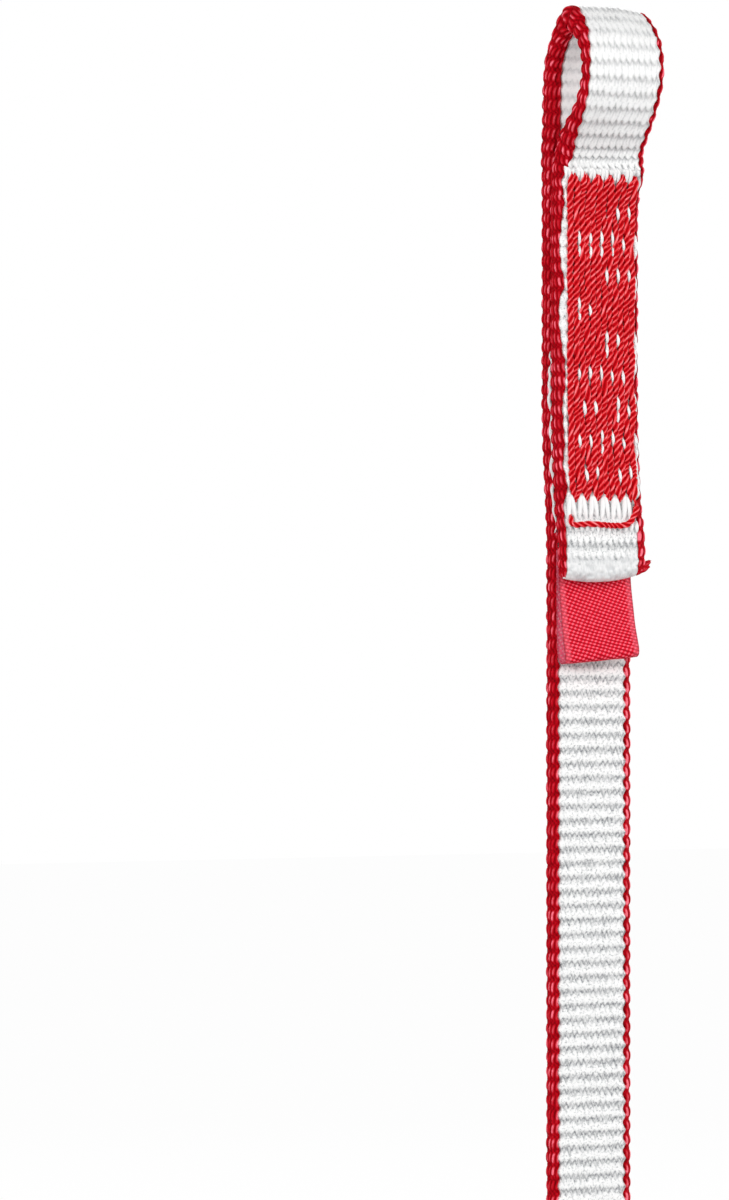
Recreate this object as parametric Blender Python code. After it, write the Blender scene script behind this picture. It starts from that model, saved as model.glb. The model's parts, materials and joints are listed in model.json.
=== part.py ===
"""Climbing sling: a short length of narrow webbing with a sewn eye at each end.

Metres, +Z up.  The sling hangs from its upper eye: the origin is the inside of that eye's
crown, where a carabiner's rod bears.  X runs across the webbing, the front is towards -Y.
Depths are measured forwards from the flat back of the webbing, drops are measured down the
sling from the outside of the upper crown.
"""
import math

import bpy
from mathutils import Matrix, Vector

# Driving dimensions of the webbing
OVERALL_LENGTH = 0.250
WEBBING_WIDTH = 0.011
WEBBING_THICKNESS = 0.0022
SELVAGE_WIDTH = 0.0008
RIB_PITCH = 0.00183
RIB_DEPTH = 0.00012

# Sewn ends
EYE_LENGTH = 0.0213
EYE_DEPTH = 0.0125
STITCHED_LENGTH = 0.0413
TAIL_LENGTH = 0.0104
END_SETBACK = 0.0012
SETBACK_EASE = 0.0180
STITCH_SINK = 0.00035
TIP_REACH = 0.0016
TIP_RADIUS = 0.00055

# Sewing thread
THREAD_DIAMETER = 0.0006
BLOCK_INSET = 0.0003
THREAD_PASS_PITCH = 0.0008
STITCH_PITCH = 0.0038
STITCH_DIP = 0.00012
CROSS_TACK_DROP = 0.0034
TACK_INSET = 0.0005

# Folded label
LABEL_INSET = 0.0005
LABEL_DROP = 0.0100
LABEL_SEAT = 0.0040
LABEL_CLOTH = 0.0003
LABEL_TAB_THICKNESS = 0.00045
LABEL_OPENING = 0.0022
LABEL_OFFSET = 0.0005

# Bends in the single strand, and fits
LABEL_TO_BEND = 0.0040
TAIL_TO_BEND = 0.0147
CLEARANCE = 0.0003
WEAVE_LINE = 0.00005

# Forms, as shares of the sizes above
RIB_CREST_SHARE = 0.62
NOSE_SHARE = 0.55
STITCHED_MARGIN_SHARE = 0.25
LABEL_SPREAD_SHARE = 0.3
BEND_END_SHARES = (0.0, 0.4, 0.75, 0.98)
SELVAGE_SECTION_SHARES = ((0.0, -1.0), (0.72, -0.9), (1.0, -0.45), (1.0, 0.45), (0.72, 0.9), (0.0, 1.0))
CROWN_SHARE = 0.575
EYE_PATH_SHARES = (
    (0.00, 0.00), (0.00, 0.09), (0.00, 0.18), (0.03, 0.33), (0.04, 0.50), (0.09, 0.70), (0.20, 0.82),
    (0.38, 0.94), (CROWN_SHARE, 1.00), (0.76, 0.94), (0.90, 0.86), (0.98, 0.76), (1.00, 0.65),
    (0.96, 0.545), (0.86, 0.435), (0.74, 0.34), (0.61, 0.255), (0.48, 0.195), (0.37, 0.145),
    (0.29, 0.10), (0.253, 0.065))
TIP_PATH_SHARES = ((0.0, 0.0, 1.0), (0.45, 0.35, 0.95), (0.8, 0.85, 0.7), (1.0, 1.3, 0.4))
EYE_STEPS = 2
EASE_STEPS = 5
BOBBIN_STEPS = 4
ARC_STEPS = 6
THREAD_SIDES = 1

WHITE = ("webbing_white", (0.86, 0.86, 0.85), 0.55)
RED = ("selvage_red", (0.52, 0.012, 0.025), 0.6)
THREAD_RED = ("thread_red", (0.62, 0.020, 0.034), 0.5)
LABEL_RED = ("label_red", (0.74, 0.035, 0.065), 0.7)

# Places that follow from the sizes
HALF = WEBBING_THICKNESS / 2
CORE_WIDTH = WEBBING_WIDTH - 2 * SELVAGE_WIDTH
THREAD_BLOCK_WIDTH = CORE_WIDTH - 2 * BLOCK_INSET
CROSS_TACK_WIDTH = THREAD_BLOCK_WIDTH - 2 * TACK_INSET
LABEL_WIDTH = WEBBING_WIDTH - 2 * LABEL_INSET
LAYER_STEP = WEBBING_THICKNESS + CLEARANCE
EYE_SPAN = EYE_DEPTH - WEBBING_THICKNESS
EYE_RISE = EYE_LENGTH - HALF
CROWN_DEPTH = HALF + CROWN_SHARE * EYE_SPAN - END_SETBACK
BLOCK_END = EYE_LENGTH + STITCHED_LENGTH
TAIL_END = BLOCK_END + TAIL_LENGTH
TACK_DROP = BLOCK_END + CROSS_TACK_DROP
SUNK_END = TACK_DROP + 2 * THREAD_DIAMETER
TAIL_LIFT = LABEL_TAB_THICKNESS + CLEARANCE
TAB_START = TAIL_END - LABEL_SEAT
EASE_START = TAB_START - SETBACK_EASE
LABEL_AXIS_DROP = TAIL_END + 3 * CLEARANCE
LABEL_DEPTH = LAYER_STEP + LABEL_TAB_THICKNESS / 2
UPPER_BEND_DROP = LABEL_AXIS_DROP + LABEL_DROP + LABEL_TO_BEND
MIDDLE_BEND_DROP = OVERALL_LENGTH / 2
LOWER_BEND_DROP = OVERALL_LENGTH - TAIL_END - TAIL_TO_BEND
BEND_RELIEF = HALF + CLEARANCE
THREAD_LIFT = CLEARANCE + THREAD_DIAMETER / 2 - STITCH_SINK
EASE_DROPS = [EASE_START + SETBACK_EASE * step / EASE_STEPS for step in range(EASE_STEPS + 1)]


def depth_to_y(depth):
    return CROWN_DEPTH - depth


def drop_to_z(drop):
    return WEBBING_THICKNESS - drop


def mirrored(drop):
    """The drop of the same place on the lower end, which is the upper end turned over."""
    return OVERALL_LENGTH - drop


def unchanged(drop):
    return drop


def collection(name):
    made = bpy.data.collections.new(name)
    bpy.context.scene.collection.children.link(made)
    return made


for old in list(bpy.data.objects):
    bpy.data.objects.remove(old)
SLING = collection("climbing_sling")
GUIDES = collection("guides")


def finish(recipe):
    """One Principled material per colour of yarn."""
    name, colour, roughness = recipe
    found = bpy.data.materials.get(name)
    if found:
        return found
    made = bpy.data.materials.new(name)
    made.use_nodes = True
    shader = made.node_tree.nodes["Principled BSDF"]
    shader.inputs["Base Color"].default_value = (*colour, 1.0)
    shader.inputs["Roughness"].default_value = roughness
    shader.inputs["Metallic"].default_value = 0.0
    made.diffuse_color = (*colour, 1.0)
    return made


def add_curve(name, dimensions, recipe, pivot):
    data = bpy.data.curves.new(name, "CURVE")
    data.dimensions = dimensions
    data.materials.append(finish(recipe))
    made = bpy.data.objects.new(name, data)
    SLING.objects.link(made)
    made.parent = pivot
    return made


def home(pivot):
    """Where a pivot stands in the world, as depth and height axes (y, z)."""
    place = Vector((0.0, 0.0, 0.0))
    while pivot:
        place = place + pivot.location
        pivot = pivot.parent
    return place


def bend_axis(name, depth, drop, parent=None):
    """An empty on the axis that the pieces of one moving length turn about."""
    made = bpy.data.objects.new(name, None)
    made.empty_display_size = WEBBING_WIDTH
    GUIDES.objects.link(made)
    made.parent = parent
    made.location = Vector((0.0, depth_to_y(depth), drop_to_z(drop))) - home(parent)
    return made


def plate(name, outlines, width, recipe, pivot=None):
    """A side outline in (depth, drop), filled and extruded across the sling."""
    made = add_curve(name, "2D", recipe, pivot)
    made.data.fill_mode = "BOTH"
    made.data.extrude = width / 2
    place = home(pivot)
    for outline in outlines:
        spline = made.data.splines.new("POLY")
        spline.points.add(len(outline) - 1)
        for point, (depth, drop) in zip(spline.points, outline):
            point.co = (depth_to_y(depth) - place.y, drop_to_z(drop) - place.z, 0.0, 1.0)
        spline.use_cyclic_u = True
    made.rotation_euler = Matrix(((0, 0, 1), (1, 0, 0), (0, 1, 0))).to_euler()
    return made


def tube(name, path, radii, recipe, pivot=None, section=None):
    """A thread or selvage along (x, depth, drop) points, thinned by each point's radius."""
    made = add_curve(name, "3D", recipe, pivot)
    made.data.twist_mode = "MINIMUM"
    made.data.use_fill_caps = True
    if section:
        made.data.bevel_mode = "OBJECT"
        made.data.bevel_object = section
    else:
        made.data.bevel_depth = THREAD_DIAMETER / 2
        made.data.bevel_resolution = THREAD_SIDES
    place = home(pivot)
    spline = made.data.splines.new("POLY")
    spline.points.add(len(path) - 1)
    for point, (x, depth, drop), radius in zip(spline.points, path, radii):
        point.co = (x, depth_to_y(depth) - place.y, drop_to_z(drop) - place.z, 1.0)
        point.radius = radius
    spline.use_smooth = True
    return made


def selvage_section(name, side):
    """The D-shaped section of a woven edge, flat towards the ribs; side is -1 left, 1 right."""
    data = bpy.data.curves.new(name, "CURVE")
    data.dimensions = "2D"
    data.fill_mode = "NONE"
    spline = data.splines.new("POLY")
    spline.points.add(len(SELVAGE_SECTION_SHARES) - 1)
    for point, (out, across) in zip(spline.points, SELVAGE_SECTION_SHARES[::-side]):
        point.co = (side * out * (SELVAGE_WIDTH - WEAVE_LINE), across * HALF, 0.0, 1.0)
    spline.use_cyclic_u = True
    made = bpy.data.objects.new(name, data)
    made.hide_render = True
    made.display_type = "WIRE"
    GUIDES.objects.link(made)
    return made


SIDES = {
    "left": (-1, selvage_section("left_selvage_section", -1)),
    "right": (1, selvage_section("right_selvage_section", 1)),
}


def selvages(prefix, path, radii, pivot=None):
    """Both woven edges of one length of webbing, along a path of (depth, drop) points."""
    for side_name, (side, section) in SIDES.items():
        x = side * (CORE_WIDTH / 2 + WEAVE_LINE)
        points = [(x, depth, drop) for depth, drop in path]
        tube(f"{prefix}_{side_name}_edge", points, radii, RED, pivot, section)


def smooth_through(points, steps):
    """Catmull-Rom points through a list of (depth, drop) places, upright at both ends."""
    first = (points[1][0], 2 * points[0][1] - points[1][1])
    last = (points[-2][0], 2 * points[-1][1] - points[-2][1])
    padded = [first, *points, last]
    line = []
    for before, here, there, after in zip(padded, padded[1:], padded[2:], padded[3:]):
        for step in range(steps):
            t = step / steps
            line.append(tuple(
                b + t / 2 * (c - a) + t * t * (a - (5 * b - 4 * c + d) / 2)
                + t * t * t * (3 * (b - c) + d - a) / 2
                for a, b, c, d in zip(before, here, there, after)))
    line.append(tuple(points[-1]))
    return line


def offset_line(line, distance):
    """The line moved sideways by a distance, to the left of its direction."""
    moved = []
    for index, (depth, drop) in enumerate(line):
        before = Vector(line[max(index - 1, 0)])
        after = Vector(line[min(index + 1, len(line) - 1)])
        along = (after - before).normalized()
        moved.append((depth - along.y * distance, drop + along.x * distance))
    return moved


def ribbed(start, end):
    """Cross ribs down one face as (inset, drop) points: flat crests with grooves between."""
    count = max(1, round((end - start) / RIB_PITCH))
    pitch = (end - start) / count
    flank = pitch * (1 - RIB_CREST_SHARE) / 2
    points = []
    for rib in range(count):
        top = start + rib * pitch
        points.append((RIB_DEPTH, top))
        points.append((0.0, top + flank))
        points.append((0.0, top + pitch - flank))
    points.append((RIB_DEPTH, end))
    return points


def even(inset, *drops):
    """A face without ribs, at one inset through the given drops."""
    return [(inset, drop) for drop in drops]


def sunk(start):
    """A face that the stitches press in, down to the end of the cross tack."""
    eased_drops = [drop for drop in EASE_DROPS if drop < SUNK_END]
    return even(STITCH_SINK, start, *eased_drops, SUNK_END)


def rounded_end(centre_depth, axis_drop):
    """The half round that closes a length at a bend's axis, front to back."""
    return [
        (centre_depth + HALF * math.cos(math.pi * step / ARC_STEPS),
         axis_drop + HALF * math.sin(math.pi * step / ARC_STEPS))
        for step in range(1, ARC_STEPS)]


def strip(name, front, back, centre_depth, end, flip, shift, pivot=None):
    """A length of the white middle of the webbing, from its face lines, top to bottom."""
    outline = [(centre_depth + HALF - inset + shift(drop), drop) for inset, drop in front]
    outline += [(depth + shift(drop), drop) for depth, drop in end]
    outline += [(centre_depth - HALF + inset + shift(drop), drop) for inset, drop in reversed(back)]
    plate(name, [[(depth, flip(drop)) for depth, drop in outline]], CORE_WIDTH, WHITE, pivot)


def eased(value, start, end):
    """A smooth rise from 0 before the start to 1 past the end."""
    share = min(max((value - start) / (end - start), 0.0), 1.0)
    return share * share * (3 - 2 * share)


def in_line(drop):
    """The strand's own line, from which the shifts of the sewn ends are counted."""
    return 0.0


def set_back(drop):
    """A sewn end lies behind the strand's line, so that the pull runs through its middle."""
    return END_SETBACK * (eased(drop, EASE_START, TAB_START) - 1)


def lifted(drop):
    """The upper tail's shift: its end is also lifted by the label that is sewn in behind it."""
    return set_back(drop) + TAIL_LIFT * eased(drop, BLOCK_END, TAB_START)


def eye_path():
    """The middle line of an eye: up the straight back, over the crown, down the full front."""
    back_depth = HALF - END_SETBACK
    line = [
        (back_depth + depth * EYE_SPAN, EYE_LENGTH - height * EYE_RISE)
        for depth, height in EYE_PATH_SHARES]
    tail_depth = back_depth + LAYER_STEP
    line.append((tail_depth, EYE_LENGTH - 2 * CLEARANCE))
    return smooth_through(line, EYE_STEPS) + [(tail_depth, EYE_LENGTH)]


def eye(prefix, flip, pivot=None):
    line = eye_path()
    outline = offset_line(line, HALF) + offset_line(line, -HALF)[::-1]
    plate(f"{prefix}_eye_core", [[(depth, flip(drop)) for depth, drop in outline]],
          CORE_WIDTH, WHITE, pivot)
    selvages(f"{prefix}_eye", [(depth, flip(drop)) for depth, drop in line], [1.0] * len(line), pivot)


def bend_end(axis_drop):
    """Places and thinning of a selvage that ends in a half round at a bend's axis."""
    places = [axis_drop + share * HALF for share in BEND_END_SHARES]
    radii = [math.sqrt(1 - share * share) for share in BEND_END_SHARES]
    return places, radii


def standing(prefix, flip, bend_drop, pivot=None):
    """The standing layer of a sewn end: the back layer, which runs on as the single strand."""
    start = EYE_LENGTH + WEAVE_LINE
    front = even(0.0, start, *EASE_DROPS, TAIL_END) + ribbed(TAIL_END, bend_drop)
    back = sunk(start) + ribbed(SUNK_END, bend_drop)
    if flip is unchanged:
        end = rounded_end(HALF, bend_drop)
        places, radii = bend_end(bend_drop)
    else:
        end = []
        places, radii = [bend_drop], [1.0]
    strip(f"{prefix}_standing_core", front, back, HALF, end, flip, set_back, pivot)
    drops = [start, *EASE_DROPS]
    path = [(HALF + set_back(drop), flip(drop)) for drop in [*drops, *places]]
    selvages(f"{prefix}_standing", path, [1.0] * len(drops) + radii, pivot)


def tail(prefix, flip, shift, pivot=None):
    """The tail layer of a sewn end, with its heat-cut nose."""
    centre = HALF + LAYER_STEP
    start = EYE_LENGTH + WEAVE_LINE
    nose = TAIL_END - HALF * NOSE_SHARE
    front = sunk(start) + ribbed(SUNK_END, nose)
    back = even(0.0, start, *EASE_DROPS, nose)
    end = [(centre + HALF * NOSE_SHARE, TAIL_END), (centre - HALF * NOSE_SHARE, TAIL_END)]
    strip(f"{prefix}_tail_core", front, back, centre, end, flip, shift, pivot)
    drops = [start, *EASE_DROPS, nose, TAIL_END]
    path = [(centre + shift(drop), flip(drop)) for drop in drops]
    selvages(f"{prefix}_tail", path, [1.0] * (len(drops) - 1) + [NOSE_SHARE], pivot)


def stitch_line(face_depth, outward, flip, shift, dip, with_tack):
    """One unbroken thread: passes up and down the block, then the cross tack below it.

    With a dip, each stitch sinks at its needle holes; without one, each pass lies even.
    """
    passes = 2 * round(THREAD_BLOCK_WIDTH / THREAD_PASS_PITCH / 2)
    step = THREAD_BLOCK_WIDTH / (passes - 1)
    margin = STITCH_PITCH * STITCHED_MARGIN_SHARE
    top, bottom = EYE_LENGTH + margin, BLOCK_END
    halves = 2 * max(1, round((bottom - top) / STITCH_PITCH)) if dip else BOBBIN_STEPS
    low = face_depth + outward * THREAD_LIFT
    high = low + outward * dip
    path = []
    for number in range(passes):
        x = number * step - THREAD_BLOCK_WIDTH / 2
        places = [bottom + (top - bottom) * half / halves for half in range(halves + 1)]
        if number % 2:
            places.reverse()
        path += [(x, (low, high)[half % 2] + shift(drop), flip(drop)) for half, drop in enumerate(places)]
        turn = bottom + step / 2 if number % 2 else top - step / 2
        if number < passes - 1:
            path.append((x + step / 2, low + shift(turn), flip(turn)))
    if with_tack:
        half_bar = CROSS_TACK_WIDTH / 2
        bar_depth = high + shift(TACK_DROP)
        rejoin = BLOCK_END + 2 * THREAD_DIAMETER
        path += [(half_bar, bar_depth, flip(TACK_DROP)), (-half_bar, bar_depth, flip(TACK_DROP))]
        path.append((-THREAD_BLOCK_WIDTH / 2, low + shift(rejoin), flip(rejoin)))
    return path


def stitching(prefix, flip, shift, pivot=None):
    """The needle thread on the tail's face and the bobbin thread on the flat back."""
    front = stitch_line(WEBBING_THICKNESS + LAYER_STEP, 1, flip, shift, STITCH_DIP, True)
    back = stitch_line(0.0, -1, flip, set_back, 0.0, False)
    tube(f"{prefix}_needle_thread", front, [1.0] * len(front), THREAD_RED, pivot)
    tube(f"{prefix}_bobbin_thread", back, [1.0] * len(back), THREAD_RED, pivot)


def frayed_tip(prefix):
    """The tail's right edge, drawn out past the corner where the webbing was cut hot."""
    side_x = CORE_WIDTH / 2 + CLEARANCE + TIP_RADIUS
    depth = HALF + LAYER_STEP + TAIL_LIFT
    path = [(side_x + out * TIP_REACH, depth, TAIL_END - TIP_RADIUS + down * TIP_RADIUS)
            for out, down, _ in TIP_PATH_SHARES]
    made = tube(f"{prefix}_frayed_tip", path, [thin for _, _, thin in TIP_PATH_SHARES], RED)
    made.data.bevel_depth = TIP_RADIUS


def arc(centre, radius, start, end, steps=ARC_STEPS):
    """Points round a centre (depth, drop); angles run from forwards (0) to down (90)."""
    angles = [math.radians(start + (end - start) * step / steps) for step in range(steps + 1)]
    return [(centre[0] + radius * math.cos(a), centre[1] + radius * math.sin(a)) for a in angles]


def label(pivot):
    """The folded label: its seat between the layers, and the flap that hangs below the tail."""
    half_tab = LABEL_TAB_THICKNESS / 2
    seat = [(LABEL_DEPTH - half_tab, TAB_START), (LABEL_DEPTH + half_tab, TAB_START)]
    seat += arc((LABEL_DEPTH, LABEL_AXIS_DROP), half_tab, 0, 180)
    sewn_in = plate("label_seat", [seat], LABEL_WIDTH, LABEL_RED)
    sewn_in.location.x = LABEL_OFFSET
    top = LABEL_AXIS_DROP + half_tab + CLEARANCE
    fold_radius = (LABEL_OPENING + 2 * LABEL_CLOTH) / 2
    back = LABEL_DEPTH - half_tab
    fold = (back + fold_radius, LABEL_AXIS_DROP + LABEL_DROP - fold_radius)
    outer = [(back, top), (back + LABEL_TAB_THICKNESS, top), *arc(fold, fold_radius, 0, 180)]
    spread = top + (fold[1] - top) * LABEL_SPREAD_SHARE
    inner = [(back + LABEL_CLOTH, spread), *arc(fold, fold_radius - LABEL_CLOTH, 0, 180)]
    flap = plate("label_flap", [outer, inner], LABEL_WIDTH, LABEL_RED, pivot)
    flap.location.x = LABEL_OFFSET


def sewn_end(prefix, flip, bend_drop, tail_shift, pivot=None):
    eye(prefix, flip, pivot)
    standing(prefix, flip, bend_drop, pivot)
    tail(prefix, flip, tail_shift, pivot)
    stitching(prefix, flip, tail_shift, pivot)


def strand(name, top_axis, bottom_axis, pivot):
    """A length of the single strand between two bends."""
    start = top_axis + BEND_RELIEF
    strip(f"{name}_core", ribbed(start, bottom_axis), ribbed(start, bottom_axis), HALF,
          rounded_end(HALF, bottom_axis), unchanged, in_line, pivot)
    places, radii = bend_end(bottom_axis)
    selvages(name, [(HALF, drop) for drop in [start, *places]], [1.0, *radii], pivot)


upper_bend = bend_axis("upper_bend_axis", HALF, UPPER_BEND_DROP)
middle_bend = bend_axis("middle_bend_axis", HALF, MIDDLE_BEND_DROP, upper_bend)
lower_bend = bend_axis("lower_bend_axis", HALF, LOWER_BEND_DROP, middle_bend)
label_axis = bend_axis("label_axis", LABEL_DEPTH, LABEL_AXIS_DROP)

sewn_end("upper", unchanged, UPPER_BEND_DROP, lifted)
strand("strand_upper", UPPER_BEND_DROP, MIDDLE_BEND_DROP, upper_bend)
strand("strand_lower", MIDDLE_BEND_DROP, LOWER_BEND_DROP, middle_bend)
frayed_tip("upper")
label(label_axis)
sewn_end("lower", mirrored, mirrored(LOWER_BEND_DROP + BEND_RELIEF), set_back, lower_bend)
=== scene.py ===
"""Looks of the climbing sling: woven webbing, stitched blocks, cross tack and folded label.

Metres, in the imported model's frame.  The sling is one tape.  A place on it is given by across
(X), along (the running length of the tape, which on the single strand is the drop below the
upper crown) and lift (the height off the tape's middle, towards the strand's front).  Near is
the distance along the tape from its nearest cut end: a tail, then an eye, then the standing
layer and the strand.  Depths are measured forwards from the strand's back, drops down from the
upper crown.  Side is -1 on the left and 1 on the right, face -1 at the back and 1 in front.
"""
import json
import math

import bmesh
import bpy
import numpy as np
from mathutils import Euler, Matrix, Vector


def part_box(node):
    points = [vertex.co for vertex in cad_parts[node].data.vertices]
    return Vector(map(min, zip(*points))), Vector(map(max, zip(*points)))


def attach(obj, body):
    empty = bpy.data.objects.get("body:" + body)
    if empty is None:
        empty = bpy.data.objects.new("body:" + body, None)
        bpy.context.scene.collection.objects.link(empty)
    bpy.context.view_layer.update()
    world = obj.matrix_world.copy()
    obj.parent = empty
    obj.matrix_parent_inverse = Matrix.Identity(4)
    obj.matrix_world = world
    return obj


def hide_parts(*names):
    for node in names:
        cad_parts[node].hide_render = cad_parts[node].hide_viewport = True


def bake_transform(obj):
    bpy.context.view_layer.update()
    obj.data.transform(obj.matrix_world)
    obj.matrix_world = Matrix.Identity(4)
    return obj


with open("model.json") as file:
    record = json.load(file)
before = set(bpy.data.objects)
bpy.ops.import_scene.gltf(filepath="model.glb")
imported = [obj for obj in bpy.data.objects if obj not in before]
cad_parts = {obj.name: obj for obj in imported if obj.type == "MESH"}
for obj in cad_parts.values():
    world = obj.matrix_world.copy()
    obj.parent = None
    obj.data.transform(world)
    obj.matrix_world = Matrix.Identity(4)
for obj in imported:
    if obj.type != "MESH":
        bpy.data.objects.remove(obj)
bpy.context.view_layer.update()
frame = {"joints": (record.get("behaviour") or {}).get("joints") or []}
scene = bpy.context.scene

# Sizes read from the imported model
STRAND_LOW, STRAND_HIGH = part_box("strand_upper_core")
EYE_LOW, EYE_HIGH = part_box("upper_eye_core")
TAIL_LOW, TAIL_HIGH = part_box("upper_tail_core")
HINGES = {joint["name"]: Vector(joint["pos_m"]) for joint in frame["joints"]}
HALF = (STRAND_HIGH.y - STRAND_LOW.y) / 2
BACK_Y = STRAND_HIGH.y
TOP_Z = 2 * HALF
EDGE_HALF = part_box("strand_upper_right_edge")[1].x
SETBACK = EYE_HIGH.y - BACK_Y
EYE_SPAN = EYE_HIGH.y - EYE_LOW.y - 2 * HALF
EYE_LENGTH = TOP_Z - TAIL_HIGH.z
TAIL_END = TOP_Z - TAIL_LOW.z
OVERALL = TOP_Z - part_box("lower_eye_core")[0].z

# The tape's route, as the CAD pieces have it; the eye's is given in shares of its depth and height
CLEARANCE = 0.0003
LAYER_STEP = 2 * HALF + CLEARANCE
EYE_RISE = EYE_LENGTH - HALF
BLOCK_LENGTH = 0.0413
BLOCK_END = EYE_LENGTH + BLOCK_LENGTH
LABEL_TUCK, EASE_LENGTH, TAIL_LIFT = 0.004, 0.018, 0.00075
TAB_START = TAIL_END - LABEL_TUCK
EASE_START = TAB_START - EASE_LENGTH
OVERRUN, CUT_SPREAD = 0.002, 0.0004
TAIL_RUN = TAIL_END - EYE_LENGTH + CUT_SPREAD
EYE_PATH_SHARES = (
    (0.0, 0.0), (0.0, 0.09), (0.0, 0.18), (0.03, 0.33), (0.04, 0.5), (0.09, 0.7), (0.2, 0.82),
    (0.38, 0.94), (0.575, 1.0), (0.76, 0.94), (0.9, 0.86), (0.98, 0.76), (1.0, 0.65),
    (0.96, 0.545), (0.86, 0.435), (0.74, 0.34), (0.61, 0.255), (0.48, 0.195), (0.37, 0.145),
    (0.29, 0.1), (0.253, 0.065))

# How the worn tape strays from that route: at an eye's crown, beside it, at its neck, at a cut
CROWN_SPREAD, CROWN_RISE = 0.0075, 0.00022
CROWN_DROOP, DROOP_ACROSS = {-1: 0.0001, 1: 0.00062}, (0.0008, 0.0062)
CROWN_SQUEEZE, SQUEEZE_SPREAD = 0.0008, 0.0028
EYE_ASIDE, ASIDE_BEFORE, ASIDE_SPREAD = 0.0003, 0.0085, 0.006
OUTER_ASIDE, OUTER_FORWARD = 0.00015, 0.0002
NECK_FORWARD, NECK_RUN, NECK_SPREAD, NECK_TILT = 0.0023, 0.0013, 0.003, -0.08
PINCH, PINCH_RUN, PINCH_SPREAD, PINCH_POWER = 0.0015, 0.0065, 0.0032, 1.5
CUT_CURVE, CUT_ASIDE, CUT_REACH = 0.0007, 0.001, 0.004

# Section of the tape: half widths, half thicknesses, and how far the red reaches in on each face
STRAND_SPREAD, SEWN_SPREAD, TAIL_SPREAD, EYE_SPREAD = 0.00018, 0.00022, 0.0004, 0.00022
STRAND_HALF, SEWN_HALF, EYE_HALF = 0.0012, 0.00126, 0.00126
FLAT_SHARE, FLAT_RIM, FLAT_POWER = 0.965, np.array((0.98, 0.994, 1.0)), 26
STRAND_RED, INSIDE_RED, LEAST_RED, RED_OVERLAP = 0.0008, 0.00165, 0.00007, 0.0001
CROWN_RED, CROWN_RED_BEFORE, CROWN_RED_SPREAD = 0.00085, 0.001, 0.0042
OUTSIDE_RED = {
    -1: ((-0.0423, 0.0003), (-0.0403, 0.0006), (0.0, 0.0006), (0.0023, 0.0011), (0.005, 0.0015),
         (0.0086, 0.0008), (0.0115, 0.00045), (0.015, 0.00022)),
    1: ((-0.0423, 0.001), (-0.0403, 0.00035), (0.0, 0.00035), (0.003, 0.00055))}
LUMPS, PILLOW = 0.00042, 0.00016
BORDER_WAVE, BORDER_FULL = {-1: 0.0002, 1: -0.00046}, 0.0007
EDGE_ROUND, EDGE_POWER, EDGE_BULGE = 0.0016, 0.55, 0.00012
RED_PROUD, BURIED_ASIDE, BURIED_DEEP = 0.00003, 0.00015, 0.00035

# Fades along the tape: start and end, counted from the place named
FROM_TAIL_TOP, FROM_CROWN, LOWER_EYE = (0.0, 0.0075), (0.001, 0.009), (0.005, 0.014)
INTO_EYE, OUT_OF_EYE = (-0.001, 0.003), (-0.003, 0.001)
INTO_BLOCK, OUT_OF_BLOCK, BESIDE_BLOCK = (-0.0006, 0.0008), (-0.0006, 0.0006), (-0.0004, 0.0002)
INTO_FINS, OUT_OF_FINS = (-0.002, 0.0), (0.0014, 0.0028)
OUTER_SHARES, SEWN_FADE = (0.6, 0.85), 0.002
MELTED, MELT_WANDER, MELT_LUMP, MELT_GRAIN = (0.0014, 0.0044), 0.0008, 0.00012, 0.00014
WHITE_CUT, RED_CUT = (0.0013, 0.02), (0.001, 0.04)

# Weave of the white middle
RIB_PITCH, YARN_PITCH = 0.00183, 0.00087
ROWS_PER_RIB, FACE_COLUMNS = 12, 78
BORDER_LEAN = 0.2 * RIB_PITCH
ZIGZAG, ZIGZAG_SKEW, SECOND_LINE, JOINT_STRAY = 0.00038, 0.42, 0.00024, 0.00012
GAP_WIDTH, GAP_DEPTH, GRAIN = 0.00012, 0.00012, 0.00001
RIB_DEPTH, GROOVE_WIDTH, GROOVE_SHADE = 0.00008, 0.00048, 0.17
FLOAT_WIDTH, FLOAT_DEPTH, LEDGE, ROW_SHADE = 0.0001, 0.00007, 0.00018, 0.28

# Weave of the red edges
EDGE_COLUMNS, EDGE_YARN, EDGE_SWELL = 36, 0.00064, 0.00019
FLOAT_SHARE, EDGE_SLANT = 0.86, (0.4, 0.6)

# Sewing thread: its make, the block's passes, and how far they are drawn aside and stray
THREAD_RADIUS, THREAD_FLAT, THREAD_SIDES, THREAD_STEP = 0.00048, 0.8, 16, 0.00013
PLY_TWIST, PLY_DEPTH = 0.00285, 0.58
TIP_FADE, TACK_FADE, TACK_LENGTH = (-0.0001, 0.0016), 0.001, 0.0128
PASSES, PASS_PITCH, STITCHES = 12, 0.0008, 10
BLOCK_SINK, BLOCK_HALF, BLOCK_ASIDE = 0.00022, 0.0048, 0.00042
BLOCK_LIFT = SEWN_HALF - 0.00018
BLOCK_SLOPE = 0.1
END_PULL, OPEN_PULL, SHUT_PULL = 0.00034, 0.00018, 0.00003
SIDE_STRAY, PASS_STRAY, END_STRAY, HOLE_STRAY = 0.00024, 0.00014, 0.0003, 0.0005
TACK_DROP = BLOCK_END + 0.0037
TACK_RIGHT, TACK_LEFT = 0.0029, -0.0051
HOLES = np.linspace(EYE_LENGTH - 0.0006, BLOCK_END + 0.0005, STITCHES + 1)
HOLES[1:-1] += 0.0005

# White yarns drawn up at each row of holes, from left to right: none, one or two
SLIVERS = [[int(count) for count in row] for row in (
    "000000 000011 222210 000111 210000 000210 111110 011021 112110 011011 000000").split()]
SLIVER_RADIUS, FIN_ASIDE = 0.00021, 0.0003
SEAM_START, SEAM_ACROSS, SEAM_RADIUS, SEAM_STRAY = EYE_LENGTH + 0.022, -0.00575, 0.0003, 0.0006

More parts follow.
